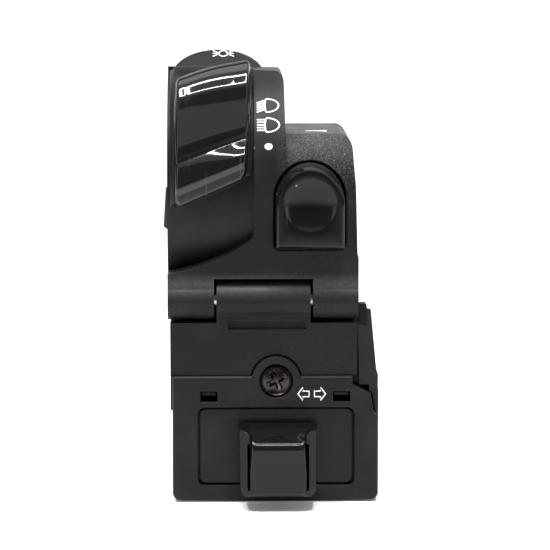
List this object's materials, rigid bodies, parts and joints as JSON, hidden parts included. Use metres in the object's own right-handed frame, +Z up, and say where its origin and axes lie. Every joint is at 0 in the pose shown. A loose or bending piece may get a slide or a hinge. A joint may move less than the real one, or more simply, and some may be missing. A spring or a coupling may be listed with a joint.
{
  "type": "motorcycle handlebar switch cluster",
  "caption": "Black left handlebar switch cluster with a tall light rocker, a D-shaped horn button, a hinged bar clamp, a finger trigger and a sliding turn signal knob.",
  "frame": {"origin": "centre of the handlebar bore, half way along the clamp", "axes": "+X along the bar to the rider's right, +Y away from the rider, +Z up"},
  "size_m": [0.0468, 0.056, 0.0941],
  "materials": {
    "cast_black": "satin black powder coat over die cast metal",
    "cover_black": "fine moulded grain, black",
    "gloss_black": "polished black",
    "satin_plastic": "satin, dark grey",
    "trigger_black": "fine moulded grain, black",
    "window_black": "smooth, black",
    "inner_black": "plain moulded, dark grey",
    "inner_pale": "plain moulded, ivory",
    "board_green": "lacquered board, green",
    "screw_black": "black oxide",
    "steel": "bright zinc plate",
    "spring_steel": "drawn wire",
    "brass": "turned",
    "rubber": "matt, black"
  },
  "bodies": {
    "upper_half": {"upper_housing": "cast_black", "rear_cover": "cast_black", "rear_cover_screws": "screw_black", "clamp_inserts": "brass", "hinge_pin": "steel", "light_detent_plate": "steel", "light_contact_board": "board_green", "light_switch_bracket": "inner_black", "light_pivot_pin": "steel", "horn_spring": "spring_steel", "horn_switch_base": "inner_pale", "circuit_board": "board_green", "pass_pivot_pin": "steel", "pass_spring": "spring_steel", "pass_microswitch": "inner_black"},
    "light_rocker": {"light_rocker_frame": "satin_plastic", "light_rocker_pad": "gloss_black", "light_detent_ball": "steel", "light_detent_spring": "spring_steel", "light_contact_wiper": "brass"},
    "horn_push_button": {"horn_button": "gloss_black", "horn_contact_plate": "brass"},
    "pass_lever": {"pass_trigger": "trigger_black"},
    "clamp_lower": {"lower_clamp_half": "cast_black", "clamp_screws": "screw_black", "clamp_washers": "screw_black", "module_front_cover": "cover_black", "cover_screw": "screw_black", "module_rear_shell": "cover_black", "module_screws": "steel", "window_plate": "window_black", "turn_switch_base": "inner_black", "turn_contact_board": "board_green", "turn_return_springs": "spring_steel", "cable_gland": "rubber"},
    "turn_carriage": {"turn_slider": "inner_pale", "turn_contact_plate": "brass", "turn_detent_ball": "steel", "turn_detent_spring": "spring_steel", "push_spring": "spring_steel"},
    "turn_knob_body": {"turn_knob": "gloss_black"}
  },
  "joints": [
    {"name": "clamp_hinge", "type": "hinge", "parent": "upper_half", "child": "clamp_lower", "pos_m": [0, -0.0187, 0], "axis": [-1, 0, 0], "range_deg": [0, 90]},
    {"name": "light_switch", "type": "hinge", "parent": "upper_half", "child": "light_rocker", "pos_m": [-0.0108, 0.006, 0.022], "axis": [1, 0, 0], "range_deg": [0, 16.6]},
    {"name": "horn_push", "type": "slide", "parent": "upper_half", "child": "horn_push_button", "axis": [0, 1, 0], "range_m": [0, 0.002], "stiffness_N_per_m": 600, "springref_m": -0.004, "deforming": ["horn_spring"]},
    {"name": "pass_pull", "type": "hinge", "parent": "upper_half", "child": "pass_lever", "pos_m": [-0.003, 0.017, 0.015], "axis": [0, 0, 1], "range_deg": [0, 8], "stiffness_Nm_per_rad": 0.05, "springref_deg": -17.19},
    {"name": "turn_signal", "type": "slide", "parent": "clamp_lower", "child": "turn_carriage", "axis": [1, 0, 0], "range_m": [-0.004, 0.004], "stiffness_N_per_m": 400, "deforming": ["turn_return_springs"]},
    {"name": "turn_cancel", "type": "slide", "parent": "turn_carriage", "child": "turn_knob_body", "axis": [0, 1, 0], "range_m": [0, 0.0013], "stiffness_N_per_m": 600, "springref_m": -0.003, "deforming": ["push_spring"]}
  ]
}
